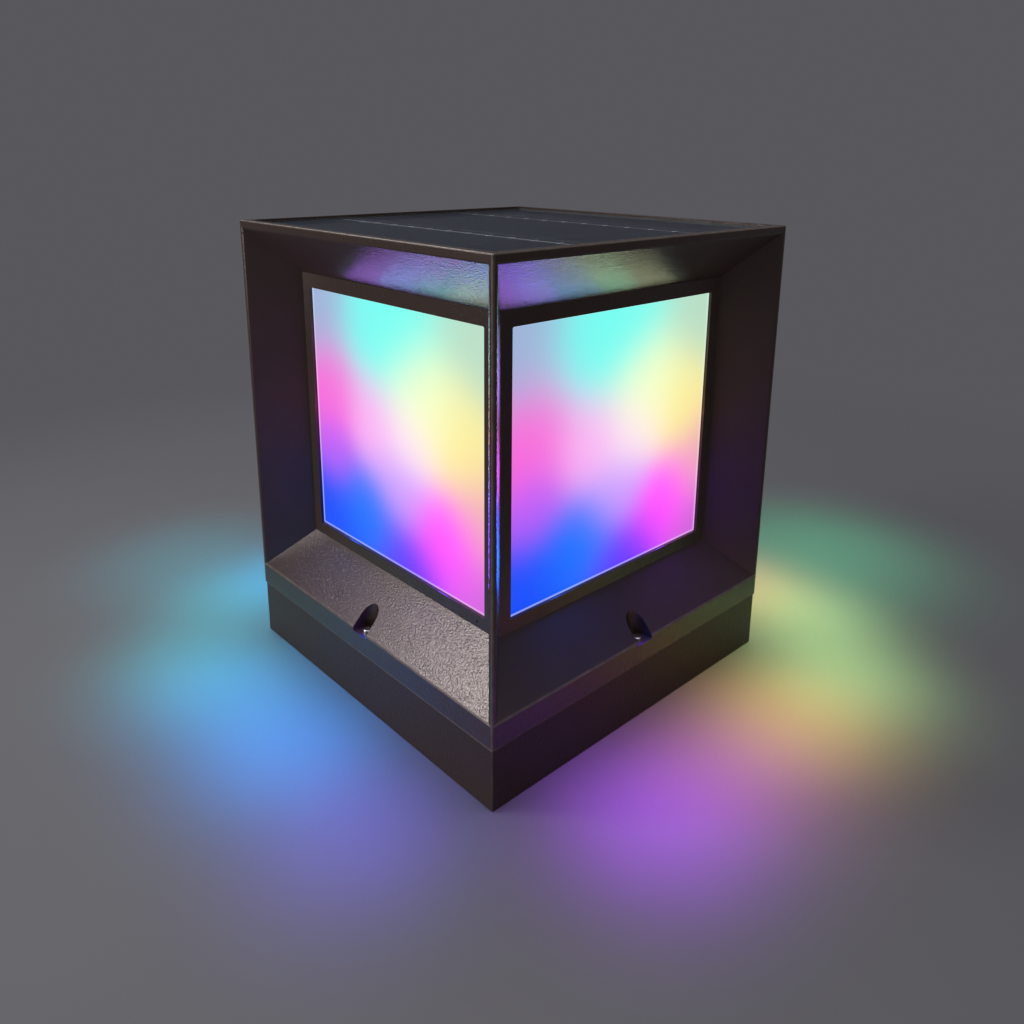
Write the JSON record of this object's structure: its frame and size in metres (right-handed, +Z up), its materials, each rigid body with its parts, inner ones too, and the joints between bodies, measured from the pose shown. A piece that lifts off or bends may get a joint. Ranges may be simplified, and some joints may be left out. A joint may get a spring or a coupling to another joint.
{
  "type": "solar column light",
  "caption": "Square solar lamp for a column: four bevelled window recesses with glowing opal diffusers, solar panel on top, screw-on plinth.",
  "frame": {"origin": "centre of the plinth's underside", "axes": "+Z up, -Y towards the side with the small receiver hole, +X to that side's right"},
  "size_m": [0.25, 0.25, 0.2985],
  "materials": {
    "housing": "fine-grained dark bronze",
    "diffuser": "opal, satin",
    "foam": "closed-cell foam tape",
    "clamp_bar": "plain",
    "screw_steel": "plain",
    "head_screw_steel": "bright",
    "panel_adhesive": "silicone",
    "panel_board": "white laminate",
    "solar_cell": "dark blue silicon",
    "tinned_copper": "tinned",
    "panel_cover": "clear, smooth",
    "black_seal": "silicone",
    "white_plastic": "white, satin",
    "light_board": "white solder mask on metal core",
    "light_package": "cast resin",
    "plug_plastic": "plain",
    "black_plastic": "moulded",
    "battery_wrap": "shrink-wrapped cell",
    "contact_metal": "nickel-plated",
    "green_board": "solder mask",
    "chip_plastic": "moulded",
    "capacitor_can": "can",
    "clear_pin": "clear",
    "switch_plastic": "moulded",
    "button_plastic": "moulded",
    "insert_brass": "knurled",
    "lead_black": "insulated",
    "lead_red": "insulated"
  },
  "bodies": {
    "plinth": {"plinth": "housing", "plinth_inserts": "insert_brass"},
    "head": {"battery_cells": "battery_wrap", "battery_contacts": "contact_metal", "battery_door": "black_plastic", "battery_door_gasket": "black_seal", "battery_door_screws": "screw_steel", "battery_foam": "foam", "battery_leads": "lead_red", "clamp_screws": "screw_steel", "control_board": "green_board", "control_board_screws": "screw_steel", "control_capacitors": "capacitor_can", "control_chips": "chip_plastic", "control_plugs": "plug_plastic", "diffuser_back": "diffuser", "diffuser_clamps": "clamp_bar", "diffuser_front": "diffuser", "diffuser_left": "diffuser", "diffuser_right": "diffuser", "diffuser_seals": "foam", "head_screws": "head_screw_steel", "housing": "housing", "led_board_back": "light_board", "led_board_front": "light_board", "led_board_left": "light_board", "led_board_right": "light_board", "led_board_screws": "screw_steel", "led_leads": "lead_black", "led_packages": "light_package", "led_plugs": "plug_plastic", "led_tower": "white_plastic", "receiver_board": "green_board", "receiver_eye": "chip_plastic", "receiver_lead": "lead_black", "receiver_lens": "clear_pin", "receiver_screws": "screw_steel", "solar_adhesive": "panel_adhesive", "solar_backboard": "panel_board", "solar_cells": "solar_cell", "solar_cover": "panel_cover", "solar_lead": "lead_black", "solar_seal": "black_seal", "solar_tabs": "tinned_copper", "switch_body": "switch_plastic", "switch_lead": "lead_black", "switch_nut": "screw_steel", "switch_seal": "black_seal", "tower_screws": "screw_steel", "tray": "black_plastic", "tray_gasket": "black_seal", "tray_screws": "screw_steel"},
    "switch_button": {"switch_button": "button_plastic"}
  },
  "joints": [
    {"name": "head_lift", "type": "slide", "parent": "plinth", "child": "head", "axis": [0, 0, 1], "range_m": [0, 0.06]},
    {"name": "switch_press", "type": "slide", "parent": "head", "child": "switch_button", "axis": [0, 0, 1], "range_m": [0, 0.002], "stiffness_N_per_m": 400, "springref_m": -0.001}
  ]
}
